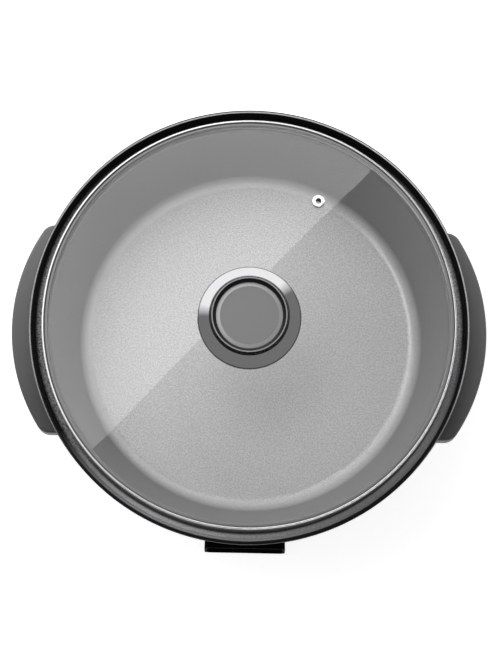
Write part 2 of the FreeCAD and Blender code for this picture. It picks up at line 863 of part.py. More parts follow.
def make_handle_washers(x_side):
    washers = []
    for y_side in (-1, 1):
        x = pad_x * x_side
        y = pad_offset * y_side
        low = seat_low_z - washer_thickness
        disc = post(washer_radius, x, y, low, seat_low_z)
        hole = post(screw_radius + washer_hole_gap, x, y, low - over, seat_low_z + over)
        washers.append(disc.cut(hole))
    return group(washers)


def make_foot_pads(x_side):
    """Rubber feet with stems that pull through the legs' sole plates."""
    pads = []
    centre_x, centre_y = foot_centre()
    half_x = leg_foot_depth / 2 - foot_pad_inset
    half_y = leg_foot_width / 2 - foot_pad_inset
    sole_top = foot_pad_thickness + leg_wall
    for y_side in (-1, 1):
        y = centre_y * y_side
        points = [
            (centre_x - half_x, y - half_y, foot_pad_corner),
            (centre_x + half_x, y - half_y, foot_pad_corner),
            (centre_x + half_x, y + half_y, foot_pad_corner),
            (centre_x - half_x, y + half_y, foot_pad_corner),
        ]
        pad = raised(points, 0, foot_pad_thickness)
        head_low = sole_top + foot_head_gap
        stem = post(foot_stem_radius, centre_x, y, foot_pad_thickness, head_low)
        head = Part.makeCone(
            foot_head_radius, foot_head_tip_radius, foot_head_height,
            Vector(centre_x, y, head_low), UP,
        )
        pad = pad.fuse([stem, head]).removeSplitter()
        pads.append(pad if x_side > 0 else mirrored(pad))
    return group(pads)


# ---- lid ----

def make_lid_rim():
    """Rolled steel rim: bead, flange over the glass, crimped shelf below it, wall and hem."""
    outer = lid_radius
    inner = lid_radius - lid_sheet
    shelf_top = glass_edge_z - glass_thickness - 2 * glass_seat_gap
    shelf_low = shelf_top - 2 * lid_sheet
    bead_inner = outer - lid_bead_width
    flange_inner = outer - lid_flange
    roll_outer = flange_inner + lid_flange_roll
    roll_top = flange_top_z + lid_flange_roll_height
    hem_inner = outer - lid_hem
    profile = [
        (flange_inner, roll_top, lid_flange_round),
        (roll_outer, roll_top, lid_flange_round),
        (roll_outer, flange_top_z, 0),
        (bead_inner, flange_top_z, 0),
        (bead_inner, lid_top_z, lid_bead_round),
        (outer, lid_top_z, lid_bead_round),
        (outer, ledge_z, lid_hem_round),
        (hem_inner, ledge_z, 0),
        (hem_inner, ledge_z + lid_sheet, 0),
        (inner, ledge_z + lid_sheet, lid_hem_round - lid_sheet),
        (inner, shelf_low, 0),
        (inner - lid_shelf_width, shelf_low, lid_fold_round),
        (inner - lid_shelf_width, shelf_top, lid_fold_round),
        (inner, shelf_top, 0),
        (inner, flange_under_z, edge_round),
        (flange_inner, flange_under_z, edge_round),
    ]
    return turned(profile)


def make_lid_glass():
    """Shallow dome of even thickness with its edge ground round."""
    centre_z = glass_top_z - glass_dome_radius
    under_radius = glass_dome_radius - glass_thickness
    top_edge = Vector(glass_radius, 0, glass_z(glass_radius))
    under_edge_z = centre_z + math.sqrt(under_radius ** 2 - glass_radius ** 2)
    under_edge = Vector(glass_radius, 0, under_edge_z)
    top_middle = Vector(glass_radius / 2, 0, glass_z(glass_radius / 2))
    under_middle_z = centre_z + math.sqrt(under_radius ** 2 - (glass_radius / 2) ** 2)
    under_middle = Vector(glass_radius / 2, 0, under_middle_z)
    top_centre = Vector(0, 0, glass_top_z)
    under_centre = Vector(0, 0, glass_top_z - glass_thickness)
    wire = Part.Wire(
        [
            Part.LineSegment(under_centre, top_centre).toShape(),
            Part.Arc(top_centre, top_middle, top_edge).toShape(),
            Part.LineSegment(top_edge, under_edge).toShape(),
            Part.Arc(under_edge, under_middle, under_centre).toShape(),
        ]
    )
    glass = Part.Face(wire).revolve(Vector(0, 0, 0), UP, 360)
    rims = [
        edge for edge in round_edges(glass) if abs(edge.Curve.Radius - glass_radius) < same
    ]
    glass = glass.makeFillet(glass_edge_round, rims)
    low = glass_top_z - glass_rise - 2 * glass_thickness
    glass = glass.cut(post(knob_bolt_hole_radius, 0, 0, low, glass_top_z + over))
    x, y = vent_place()
    return glass.cut(tilted_to_glass(post(vent_hole_radius, x, y, low, glass_top_z + over)))


def vent_place():
    bearing = math.radians(vent_bearing)
    return vent_distance * math.cos(bearing), vent_distance * math.sin(bearing)


def tilted_to_glass(shape):
    """Turns a piece made upright over the vent so that it stands square on the glass."""
    x, y = vent_place()
    slope = math.degrees(math.asin(vent_distance / glass_dome_radius))
    hinge = Vector(x, y, glass_z(vent_distance))
    side = Vector(-y, x, 0)
    shape.rotate(hinge, side, slope)
    return shape


def vent_turned(profile):
    """Turned piece about the vent's own axis, heights counted from the glass's top face."""
    x, y = vent_place()
    base = glass_z(vent_distance)
    shape = turned([(r, base + z, rounding) for r, z, rounding in profile])
    shape.translate(Vector(x, y, 0))
    return tilted_to_glass(shape)


def make_vent_eyelet():
    """Chromed eyelet: domed flange above the glass and a tube down through it."""
    low = -glass_thickness - vent_gasket_thickness - vent_tail
    profile = [
        (vent_bore_radius, vent_flange_height, vent_flange_round),
        (vent_flange_radius, vent_flange_height, vent_flange_round),
        (vent_flange_radius, vent_seat_gap, edge_round),
        (vent_tube_radius, vent_seat_gap, 0),
        (vent_tube_radius, low, edge_round),
        (vent_bore_radius, low, edge_round),
    ]
    return vent_turned(profile)


def make_vent_gasket():
    """Silicone ring under the glass around the eyelet's tube."""
    top = -glass_thickness - vent_seat_gap
    low = top - vent_gasket_thickness
    bore = vent_tube_radius + vent_gasket_fit
    profile = [
        (bore, top, 0),
        (vent_gasket_radius, top, 0),
        (vent_gasket_radius, low, edge_round),
        (bore, low, 0),
    ]
    return vent_turned(profile)


# ---- knob ----

knob_skirt_radius = knob_radius + knob_skirt_reach
skirt_low_z = glass_z(knob_skirt_radius) + knob_skirt_gap
skirt_top_z = skirt_low_z + knob_skirt_rise
spacer_top_z = skirt_top_z - knob_skirt_sheet
knob_low_z = skirt_top_z
knob_top_z = knob_low_z + knob_height
recess_floor_z = knob_top_z - knob_recess_depth
boss_low_z = knob_low_z - knob_boss_depth
insert_top_z = boss_low_z + knob_insert_length
under_glass_z = glass_top_z - glass_thickness
gasket_low_z = under_glass_z - knob_gasket_thickness


def make_knob_skirt():
    """Spun dish under the knob: rolled edge, bent flare and a flat seat with a hole."""
    shoulder = knob_radius + knob_skirt_shoulder
    sheet = knob_skirt_sheet
    hole = knob_boss_radius + knob_boss_gap
    inner_foot = knob_skirt_radius - sheet
    fall = knob_skirt_rise - knob_skirt_roll
    flare = math.atan2(fall, knob_skirt_radius - shoulder)
    bend_step = sheet * math.tan(flare / 2)
    profile = [
        (knob_skirt_radius, skirt_low_z, 0),
        (knob_skirt_radius, skirt_low_z + knob_skirt_roll, edge_round),
        (shoulder, skirt_top_z, knob_skirt_round),
        (hole, skirt_top_z, 0),
        (hole, spacer_top_z, 0),
        (shoulder - bend_step, spacer_top_z, knob_skirt_round - sheet),
        (inner_foot, skirt_low_z + knob_skirt_roll - sheet / 2, edge_round),
        (inner_foot, skirt_low_z, 0),
    ]
    return turned(profile)


def make_knob_spacer():
    """Heat-proof spacer between the glass and the skirt, bored out for the knob's spigot."""
    bolt_hole = knob_bolt_radius + knob_bolt_room
    well = knob_boss_radius + knob_boss_gap
    well_floor_z = boss_low_z - knob_boss_gap
    profile = [
        (bolt_hole, glass_top_z, 0),
        (knob_spacer_radius - knob_spacer_taper, glass_top_z, 0),
        (knob_spacer_radius, spacer_top_z, knob_spacer_round),
        (well, spacer_top_z, 0),
        (well, well_floor_z, 0),
        (bolt_hole, well_floor_z, 0),
    ]
    return turned(profile)


def make_knob_body():
    """Moulded grip: a raised lip around a deep recess, and a spigot with a nut below."""
    crest_in = knob_crest_radius - knob_crest_width / 2
    crest_out = knob_crest_radius + knob_crest_width / 2
    profile = [
        (knob_insert_radius, boss_low_z, 0),
        (knob_boss_radius, boss_low_z, edge_round),
        (knob_boss_radius, knob_low_z, 0),
        (knob_radius - knob_waist, knob_low_z, edge_round),
        (knob_radius, knob_low_z + knob_widest_height, knob_side_round),
        (crest_out, knob_top_z, knob_crest_round),
        (crest_in, knob_top_z, knob_crest_round),
        (knob_recess_radius, recess_floor_z + knob_recess_wall, knob_crest_round),
        (knob_recess_radius, recess_floor_z, 0),
        (knob_insert_radius, recess_floor_z, 0),
    ]
    return turned(profile)


def make_knob_cap():
    """Bare metal disc with a bevelled edge, let into the recess."""
    top = recess_floor_z + knob_cap_thickness
    edge = knob_recess_radius - knob_cap_gap
    profile = [
        (0, top, 0),
        (edge - knob_cap_bevel, top, edge_round),
        (edge, top - knob_cap_bevel_drop, edge_round),
        (edge, recess_floor_z, 0),
        (0, recess_floor_z, 0),
    ]
    return turned(profile)


def make_knob_insert():
    """Brass nut moulded into the spigot; its thread is a plain bore."""
    bore = knob_bolt_radius + thread_gap
    outer = knob_insert_radius - knob_insert_fit
    profile = [
        (bore, boss_low_z, 0),
        (outer, boss_low_z, edge_round),
        (outer, insert_top_z, edge_round),
        (bore, insert_top_z, 0),
    ]
    return turned(profile)


def make_knob_gasket():
    """Silicone washer under the glass with a sleeve up into the glass's hole."""
    top = under_glass_z - knob_gasket_seat_gap
    sleeve_top = glass_top_z - knob_gasket_top_gap
    sleeve_radius = knob_bolt_hole_radius - knob_gasket_side_gap
    bore = knob_bolt_radius + knob_bolt_room
    profile = [
        (bore, gasket_low_z, 0),
        (knob_gasket_radius, gasket_low_z, edge_round),
        (knob_gasket_radius, top, edge_round),
        (sleeve_radius, top, 0),
        (sleeve_radius, sleeve_top, 0),
        (bore, sleeve_top, 0),
    ]
    return turned(profile)


def make_knob_washer():
    low = gasket_low_z - knob_washer_thickness
    disc = post(knob_washer_radius, 0, 0, low, gasket_low_z)
    hole = post(knob_bolt_radius + knob_washer_gap, 0, 0, low - over, gasket_low_z + over)
    return disc.cut(hole)


def make_knob_screw():
    seat = gasket_low_z - knob_washer_thickness
    length = insert_top_z - knob_bolt_tip_gap - seat
    return pan_head_screw(
        0, 0, seat, knob_bolt_radius, length, knob_bolt_head_radius, knob_bolt_head_height
    )


def build():
    """Every node by name."""
    right_handle = make_handle()
    return {
        "pan_body": make_pan_body(),
        "heating_element": make_heating_element(),
        "terminal_insulator_left": make_insulator(-1),
        "terminal_insulator_right": make_insulator(1),
        "terminal_pin_left": make_terminal_pin(-1),
        "terminal_pin_right": make_terminal_pin(1),
        "probe_sleeve": make_probe_sleeve(),
        "earth_plate": make_earth_plate(),
        "socket_guard": make_socket_guard(),
        "guard_screws": make_guard_screws(),
        "handle_left": mirrored(right_handle),
        "handle_right": right_handle,
        "handle_screws_left": make_handle_screws(-1),
        "handle_screws_right": make_handle_screws(1),
        "handle_washers_left": make_handle_washers(-1),
        "handle_washers_right": make_handle_washers(1),
        "foot_pads_left": make_foot_pads(-1),
        "foot_pads_right": make_foot_pads(1),
        "lid_glass": make_lid_glass(),
        "lid_rim": make_lid_rim(),
        "vent_eyelet": make_vent_eyelet(),
        "vent_gasket": make_vent_gasket(),
        "knob_skirt": make_knob_skirt(),
        "knob_spacer": make_knob_spacer(),
        "knob_body": make_knob_body(),
        "knob_cap": make_knob_cap(),
        "knob_insert": make_knob_insert(),
        "knob_gasket": make_knob_gasket(),
        "knob_washer": make_knob_washer(),
        "knob_screw": make_knob_screw(),
    }


os.makedirs("parts", exist_ok=True)
for name, shape in build().items():
    shape.exportStep(os.path.join("parts", name + ".step"))
    print(name, len(shape.Solids), shape.isValid(), round(shape.Volume))
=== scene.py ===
import math

import bpy
from mathutils import Matrix, Vector


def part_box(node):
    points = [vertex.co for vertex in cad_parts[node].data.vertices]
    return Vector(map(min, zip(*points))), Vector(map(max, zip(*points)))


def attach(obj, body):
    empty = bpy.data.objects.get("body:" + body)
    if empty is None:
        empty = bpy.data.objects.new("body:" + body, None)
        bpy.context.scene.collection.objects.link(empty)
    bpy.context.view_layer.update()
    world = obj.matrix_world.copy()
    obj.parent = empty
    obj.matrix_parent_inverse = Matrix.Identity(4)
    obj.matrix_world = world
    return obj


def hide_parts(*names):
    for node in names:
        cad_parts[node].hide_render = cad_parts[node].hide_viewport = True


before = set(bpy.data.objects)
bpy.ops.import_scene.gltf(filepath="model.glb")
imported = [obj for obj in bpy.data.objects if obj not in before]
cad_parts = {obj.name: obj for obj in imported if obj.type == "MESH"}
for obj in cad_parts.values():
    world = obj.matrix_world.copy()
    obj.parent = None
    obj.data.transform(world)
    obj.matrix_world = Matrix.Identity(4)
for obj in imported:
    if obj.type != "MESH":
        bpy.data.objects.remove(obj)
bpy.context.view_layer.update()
print("frame loaded with", len(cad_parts), "nodes")


# heights taken from the frame, in metres
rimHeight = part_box("pan_body")[1].z
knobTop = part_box("knob_body")[1].z
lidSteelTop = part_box("lid_rim")[1].z
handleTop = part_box("handle_left")[1].z


# camera

cameraSet = {
    "distance": 4.0,
    "tilt": 10.0,            # degrees off straight down, towards the socket
    "roll": 1.17,            # degrees
    "aim": (0.0007, 0.0011, rimHeight - 0.004),
    "lens": 232.45,
    "sensor": 36.0,
    "clip": (0.1, 100.0),
}


def placeCamera():
    tilt = math.radians(cameraSet["tilt"])
    aim = Vector(cameraSet["aim"])
    data = bpy.data.cameras.new("stillCamera")
    data.lens = cameraSet["lens"]
    data.sensor_width = cameraSet["sensor"]
    data.clip_start, data.clip_end = cameraSet["clip"]
    camera = bpy.data.objects.new("stillCamera", data)
    bpy.context.scene.collection.objects.link(camera)
    turn = Matrix.Rotation(tilt, 4, "X") @ Matrix.Rotation(math.radians(cameraSet["roll"]), 4, "Z")
    back = Vector((0, -math.sin(tilt), math.cos(tilt)))
    camera.matrix_world = Matrix.Translation(aim + back * cameraSet["distance"]) @ turn
    bpy.context.scene.camera = camera


# node helpers
# noises are given as scale, detail and roughness, bumps as strength and depth

noiseMiddle = (0.3, 0.7)     # most values of a noise lie between these


def newMaterial(name, **values):
    material = bpy.data.materials.new(name)
    material.use_nodes = True
    shader = material.node_tree.nodes["Principled BSDF"]
    for key, value in values.items():
        label = key.replace("_", " ")
        shader.inputs[label].default_value = value
    return material, shader


def addNode(material, kind, **values):
    node = material.node_tree.nodes.new(kind)
    for key, value in values.items():
        setattr(node, key, value)
    return node


def join(material, source, target):
    material.node_tree.links.new(source, target)


def objectCoords(material):
    return addNode(material, "ShaderNodeTexCoord").outputs["Object"]


def placeOf(material):
    # distances to the right, to the back, above the table and from the pan's axis
    parts = addNode(material, "ShaderNodeSeparateXYZ")
    join(material, objectCoords(material), parts.inputs[0])
    aside, along, height = parts.outputs
    squares = plusOf(material, timesOf(material, aside, aside), timesOf(material, along, along))
    radius = mathOf(material, "SQRT", squares, 0.0)
    return aside, along, height, radius


def noiseOf(material, coords, scale, detail, roughness=0.5):
    noise = addNode(material, "ShaderNodeTexNoise")
    noise.inputs["Scale"].default_value = scale
    noise.inputs["Detail"].default_value = detail
    noise.inputs["Roughness"].default_value = roughness
    join(material, coords, noise.inputs["Vector"])
    return noise.outputs["Fac"]


def rangeOf(material, value, fromLow, fromHigh, toLow, toHigh):
    node = addNode(material, "ShaderNodeMapRange")
    node.inputs["From Min"].default_value = fromLow
    node.inputs["From Max"].default_value = fromHigh
    node.inputs["To Min"].default_value = toLow
    node.inputs["To Max"].default_value = toHigh
    join(material, value, node.inputs["Value"])
    return node.outputs["Result"]


def shareOf(material, value, ends):
    # 0 up to the first end, 1 from the second on
    return rangeOf(material, value, *ends, 0.0, 1.0)


def middleOf(material, noise, ends):
    # spreads the middle values of a noise over a range
    return rangeOf(material, noise, *noiseMiddle, *ends)


def mathOf(material, operation, first, second):
    node = addNode(material, "ShaderNodeMath", operation=operation)
    for socket, value in zip(node.inputs, (first, second)):
        if isinstance(value, (int, float)):
            socket.default_value = value
        else:
            join(material, value, socket)
    return node.outputs["Value"]


def timesOf(material, first, second):
    return mathOf(material, "MULTIPLY", first, second)


def plusOf(material, first, second):
    return mathOf(material, "ADD", first, second)


def overOf(material, value, limit):
    return mathOf(material, "GREATER_THAN", value, limit)


def underOf(material, value, limit):
    return mathOf(material, "LESS_THAN", value, limit)


def opposite(material, share):
    return mathOf(material, "SUBTRACT", 1.0, share)


def bandOf(material, value, band):
    # 1 inside the band, falling to 0 past either end
    rise = shareOf(material, value, band[:2])
    return timesOf(material, rise, opposite(material, shareOf(material, value, band[2:])))


def distanceOf(material, coords, place):
    away = addNode(material, "ShaderNodeVectorMath", operation="DISTANCE")
    join(material, coords, away.inputs[0])
    away.inputs[1].default_value = place
    return away.outputs["Value"]


def blendOf(material, factor, first, second):
    # mixes two colours, each a tuple or the colour that another node gives
    node = addNode(material, "ShaderNodeMix", data_type="RGBA")
    sockets = [socket for socket in node.inputs if socket.type == "RGBA"]
    for socket, colour in zip(sockets, (first, second)):
        if isinstance(colour, tuple):
            socket.default_value = (*colour, 1)
        else:
            join(material, colour, socket)
    join(material, factor, node.inputs["Factor"])
    return [socket for socket in node.outputs if socket.type == "RGBA"][0]


def mixOf(material, factor, first, second):
    # mixes two numbers, each a value or the number that another node gives
    node = addNode(material, "ShaderNodeMix", data_type="FLOAT")
    sockets = [socket for socket in node.inputs if socket.type == "VALUE"]
    for socket, number in zip(sockets[1:3], (first, second)):
        if isinstance(number, (int, float)):
            socket.default_value = number
        else:
            join(material, number, socket)
    join(material, factor, sockets[0])
    return node.outputs["Result"]


def bumpFrom(material, shader, height, strength, distance):
    bump = addNode(material, "ShaderNodeBump")
    bump.inputs["Strength"].default_value = strength
    bump.inputs["Distance"].default_value = distance
    join(material, height, bump.inputs["Height"])
    join(material, bump.outputs["Normal"], shader.inputs["Normal"])


def dress(material, *names):
    for name in names:
        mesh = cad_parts[name].data
        mesh.materials.clear()
        mesh.materials.append(material)


# pan

panCoat = {
    # each tone is given from its darkest to its palest fleck or grain
    "floor": ((0.49, 0.49, 0.491), (0.74, 0.74, 0.741)),
    # painted light and shade: towards the back left the floor is painted darker, the wall and the fillet
    # paler
    "paintedFarFloor": ((0.40, 0.40, 0.401), (0.62, 0.62, 0.621)),
    "paintedLightFloor": ((0.61, 0.61, 0.611), (0.90, 0.90, 0.901)),
    # painted shade: the steep wall is painted darker than the floor
    "wall": ((0.320, 0.320, 0.321), (0.330, 0.330, 0.331)),
    "paintedFarWall": ((0.390, 0.390, 0.391), (0.400, 0.400, 0.401)),
    # painted light: the ledge under the lid, painted paler on the left
    "paintedLightSill": ((0.54, 0.54, 0.541), (0.60, 0.60, 0.601)),
    # painted highlight along the fillet between the floor and the wall
    "foot": ((0.72, 0.72, 0.721), (0.84, 0.84, 0.841)),
    "paintedFarFoot": ((0.94, 0.94, 0.941), (1.0, 1.0, 1.0)),
    "ledge": ((0.12, 0.12, 0.122), (0.42, 0.42, 0.424)),
    # painted light: the ledge is painted paler on the right and at the front
    "litRightLedge": ((0.42, 0.42, 0.424), (0.90, 0.90, 0.904)),
    "litFrontLedge": ((0.78, 0.78, 0.79), (1.0, 1.0, 1.0)),
    # painted shadow beside the lid and the lip at the front
    "gap": ((0.09, 0.09, 0.091), (0.13, 0.13, 0.131)),
    "outside": ((0.008, 0.008, 0.009), (0.017, 0.017, 0.018)),
    # painted highlight along the lip's crest, paler on the right
    "edge": ((0.42, 0.42, 0.42), (0.56, 0.56, 0.56)),
    "litRightEdge": ((0.66, 0.66, 0.66), (0.84, 0.84, 0.84)),
    "wallSlope": math.tan(math.radians(17.1)),
    "wallInside": 0.1547,    # radius less slope times height: the inside ends past this
    "floorLevel": 0.030,     # the inside lies above this
    "paintedLightPlace": (0.034, -0.048, 0.0321),     # middle of the palest part of the floor, painted light that lifts the knob's shadow
    "paintedLightRadius": (0.100, 0.015),     # its tone starts at the first and is full at the second
    "floorFade": (0.1660, 0.1590),   # the floor's tone runs on up the fillet to here, painted light on the fillet
    "footHighlightRadius": (0.1535, 0.1562),  # painted highlight: the fillet is paler from here
    "floorTurn": 0.009,      # both move in by this for each metre to the back or left, moving the painted light with them
    "paintedFarFade": (0.06, 0.24),     # distance to the back left over which the tones change: painted light and shade, the floor darker and the wall and fillet paler there
    "rightLightFade": (-0.12, 0.12),  # along X: the ledge's tones change between these, painted lighter towards the right
    "ledgeLevel": 0.1185,    # the ledge and the lip lie above this
    "paintedLightSillRadius": 0.1968,    # the part of the ledge under the lid ends here, painted paler there against the lid's shade
    "ledgeFade": (0.2042, 0.2004),   # the ledge turns paler from the lip's foot to the lid
    "backShadeFade": (0.17, 0.05),    # along Y: painted shade, it is as dark as the outside at the back
    "frontLightFade": (0.06, 0.16),   # distance to the front over which a pale band of painted light takes over
    "frontLightTurn": 0.25,       # the band shows more on the right than on the left
    # painted light inside the band, painted shadow in the gap beside it
    "frontLightBand": (0.1986, 0.2004, 0.2060, 0.2075),
    "frontLightBandTurn": 0.008,       # it moves in by this for each metre to the right
    "edgeHighlightBand": (0.2082, 0.2086, 0.2095, 0.2098),    # painted highlight: a pale line along the lip
    "edgeHighlightTurn": 0.0052,      # it moves in by this for each metre to the back
    "edgeHighlightFade": (-0.150, -0.060),    # along Y: it ends short of the socket
    "fleckScale": 1000.0,    # cells to the metre
    "fleckRange": (0.1, 0.9),
    "grainNoise": (720.0, 3.0, 0.7),
    "grainRange": (0.38, 0.62),
    "grainBump": (0.5, 0.00008),
    "roughness": (0.37, 0.40),
    "outsideRoughness": (0.34, 0.44),
    "lowRoughness": 0.9,     # the outside below the lip's crest is dull
    "crestDepth": (0.007, 0.004),    # below the rim: dull past the first, polished above the second
    "metallic": 0.38,
    "gloss": 0.05,
    "fleckedParts": (
        "wall", "paintedFarWall", "foot", "paintedFarFoot", "paintedLightSill",
        "ledge", "litRightLedge", "litFrontLedge", "gap", "outside", "edge", "litRightEdge",
    ),
}


def movedIn(material, radius, place, turn):
    # makes a radius count for more the further a place lies one way
    return plusOf(material, radius, timesOf(material, place, turn))


def panZones(material):
    # tells the parts of the casting apart by where they lie, together with the places of its painted
    # light and shade; each is a share from 0 to 1
    aside, along, height, radius = placeOf(material)
    lean = timesOf(material, height, panCoat["wallSlope"])
    within = underOf(material, mathOf(material, "SUBTRACT", radius, lean), panCoat["wallInside"])
    above = overOf(material, height, panCoat["floorLevel"])
    high = overOf(material, height, panCoat["ledgeLevel"])
    backLeft = mathOf(material, "SUBTRACT", along, aside)
    floorRadius = movedIn(material, radius, backLeft, panCoat["floorTurn"])
    toFront = mathOf(material, "SUBTRACT", timesOf(material, aside, panCoat["frontLightTurn"]), along)
    front = shareOf(material, toFront, panCoat["frontLightFade"])
    paler = shareOf(material, radius, panCoat["ledgeFade"])
    paler = timesOf(material, paler, shareOf(material, along, panCoat["backShadeFade"]))
    rightward = mathOf(material, "MAXIMUM", aside, 0.0)
    bandRadius = movedIn(material, radius, rightward, panCoat["frontLightBandTurn"])
    # painted highlight along the lip
    edgeRadius = movedIn(material, radius, along, panCoat["edgeHighlightTurn"])
    line = bandOf(material, edgeRadius, panCoat["edgeHighlightBand"])
    edge = timesOf(material, line, shareOf(material, along, panCoat["edgeHighlightFade"]))
    withinBand = opposite(material, shareOf(material, bandRadius, panCoat["frontLightBand"][2:]))
    crest = [rimHeight - depth for depth in panCoat["crestDepth"]]
    return {
        "inside": timesOf(material, within, above),
        "flat": shareOf(material, floorRadius, panCoat["floorFade"]),
        "foot": shareOf(material, floorRadius, panCoat["footHighlightRadius"]),
        # painted light and shade towards the back left
        "far": shareOf(material, backLeft, panCoat["paintedFarFade"]),
        "right": shareOf(material, aside, panCoat["rightLightFade"]),
        "ledge": timesOf(material, high, timesOf(material, paler, opposite(material, front))),
        "litFrontLedge": timesOf(material, timesOf(material, high, front), withinBand),
        # the band of painted light on the front ledge
        "flecks": bandOf(material, bandRadius, panCoat["frontLightBand"]),
        "paintedLightSill": timesOf(material, high, underOf(material, radius, panCoat["paintedLightSillRadius"])),
        "edge": timesOf(material, high, edge),
        "crest": shareOf(material, height, crest),
    }


def finishPan():
    material, shader = newMaterial("panCoat", Specular_IOR_Level=panCoat["gloss"])
    coords = objectCoords(material)
    flecks = addNode(material, "ShaderNodeTexVoronoi")
    flecks.inputs["Scale"].default_value = panCoat["fleckScale"]
    join(material, coords, flecks.inputs["Vector"])
    tone = addNode(material, "ShaderNodeSeparateColor")
    join(material, flecks.outputs["Color"], tone.inputs["Color"])
    speckle = shareOf(material, tone.outputs["Red"], panCoat["fleckRange"])
    grain = noiseOf(material, coords, *panCoat["grainNoise"])
    fine = shareOf(material, grain, panCoat["grainRange"])
    zones = panZones(material)
    tones = {part: blendOf(material, speckle, *panCoat[part]) for part in panCoat["fleckedParts"]}
    # painted highlight on the lip's crest
    edge = blendOf(material, zones["right"], tones["edge"], tones["litRightEdge"])
    colour = blendOf(material, zones["edge"], tones["outside"], edge)
    # painted light and shade on the ledge: paler to the right and front, dark at the back
    ledge = blendOf(material, zones["right"], tones["ledge"], tones["litRightLedge"])
    colour = blendOf(material, zones["ledge"], colour, ledge)
    litFrontLedge = blendOf(material, zones["flecks"], tones["gap"], tones["litFrontLedge"])
    colour = blendOf(material, zones["litFrontLedge"], colour, litFrontLedge)
    near = blendOf(material, fine, *panCoat["floor"])
    far = blendOf(material, fine, *panCoat["paintedFarFloor"])
    # painted light: a paler patch where the knob's shadow falls on the floor
    middle = blendOf(material, fine, *panCoat["paintedLightFloor"])
    fromMiddle = distanceOf(material, coords, panCoat["paintedLightPlace"])
    # painted light and shade: the floor, wall and fillet tones change towards the back left
    floor = blendOf(material, zones["far"], near, far)
    floor = blendOf(material, shareOf(material, fromMiddle, panCoat["paintedLightRadius"]), floor, middle)
    wall = blendOf(material, zones["far"], tones["wall"], tones["paintedFarWall"])
    foot = blendOf(material, zones["far"], tones["foot"], tones["paintedFarFoot"])
    # painted shade on the wall, painted light on the floor
    within = blendOf(material, zones["flat"], wall, floor)
    # painted highlight on the fillet
    within = blendOf(material, timesOf(material, zones["foot"], zones["flat"]), within, foot)
    colour = blendOf(material, zones["inside"], colour, within)
    # painted light: the ledge under the lid is painted paler on the left, against the lid's shade
    paintedLightSill = blendOf(material, zones["right"], tones["paintedLightSill"], tones["wall"])
    colour = blendOf(material, zones["paintedLightSill"], colour, paintedLightSill)
    join(material, colour, shader.inputs["Base Color"])
    inner = mixOf(material, tone.outputs["Green"], *panCoat["roughness"])
    outer = mixOf(material, tone.outputs["Green"], *panCoat["outsideRoughness"])
    outer = mixOf(material, zones["crest"], panCoat["lowRoughness"], outer)
    join(material, mixOf(material, zones["inside"], outer, inner), shader.inputs["Roughness"])
    metallic = timesOf(material, zones["inside"], panCoat["metallic"])
    join(material, metallic, shader.inputs["Metallic"])
    floorOnly = timesOf(material, zones["inside"], zones["flat"])
    bumpFrom(material, shader, timesOf(material, grain, floorOnly), *panCoat["grainBump"])
    dress(material, "pan_body")


# glass

lidGlass = {
    "tint": (0.968, 0.968, 0.968, 1),
    "roughness": 0.0,
    "ior": 1.45,
    "lampTint": (0.88, 0.885, 0.883, 1),     # share of the light that passes to what lies under it
    "waveNoise": (9.0, 1.0),
    "waveBump": (0.05, 0.0003),
}


def finishGlass():
    material, shader = newMaterial("lidGlass", Roughness=lidGlass["roughness"], IOR=lidGlass["ior"])
    shader.inputs["Transmission Weight"].default_value = 1.0
    shader.inputs["Base Color"].default_value = lidGlass["tint"]
    wave = noiseOf(material, objectCoords(material), *lidGlass["waveNoise"])
    bumpFrom(material, shader, wave, *lidGlass["waveBump"])
    lamps = addNode(material, "ShaderNodeBsdfTransparent")
    lamps.inputs["Color"].default_value = lidGlass["lampTint"]
    ray = addNode(material, "ShaderNodeLightPath")
    mix = addNode(material, "ShaderNodeMixShader")
    output = material.node_tree.nodes["Material Output"]
    join(material, ray.outputs["Is Shadow Ray"], mix.inputs[0])
    join(material, shader.outputs["BSDF"], mix.inputs[1])
    join(material, lamps.outputs["BSDF"], mix.inputs[2])
    join(material, mix.outputs["Shader"], output.inputs["Surface"])
    dress(material, "lid_glass")


# steel and chrome

spunStretch = 0.004      # metres of the marks' pattern for each radian round the axis


def spunCoords(material):
    # turns a place into (radius, turn, height) about the pan's axis, for marks left by spinning
    aside, along, height, radius = placeOf(material)
    turn = mathOf(material, "ARCTAN2", along, aside)
    whole = addNode(material, "ShaderNodeCombineXYZ")
    join(material, radius, whole.inputs["X"])
    join(material, timesOf(material, turn, spunStretch), whole.inputs["Y"])
    join(material, height, whole.inputs["Z"])
    return whole.outputs["Vector"]


def spunLines(material, look):
    return noiseOf(material, spunCoords(material), *look["lineNoise"])


rimSteel = {
    "colour": ((0.90, 0.90, 0.895), (0.97, 0.97, 0.965)),
    "metallic": 0.75,
    "side": (0.30, 0.30, 0.30),
    "shadeSideStart": (0.1970, 0.0011),       # painted shade on the outer side: from this radius, and this far below the bead's top
    "grooveShade": (0.10, 0.10, 0.101),
    "grooveShadeRadius": (0.1941, 0.1955),      # painted shade in the groove between the bead and the rolled edge
    "grooveShadeDepth": 0.0025,     # the groove lies less than this below the bead's top
    "grooveShadeRoughness": 0.6,
    "fold": (0.36, 0.36, 0.36),      # rolled edge on the glass, inside the groove
    "roughness": (0.26, 0.32),
    "lineNoise": (2600.0, 2.0),
    "lineBump": (0.1, 0.000005),
}


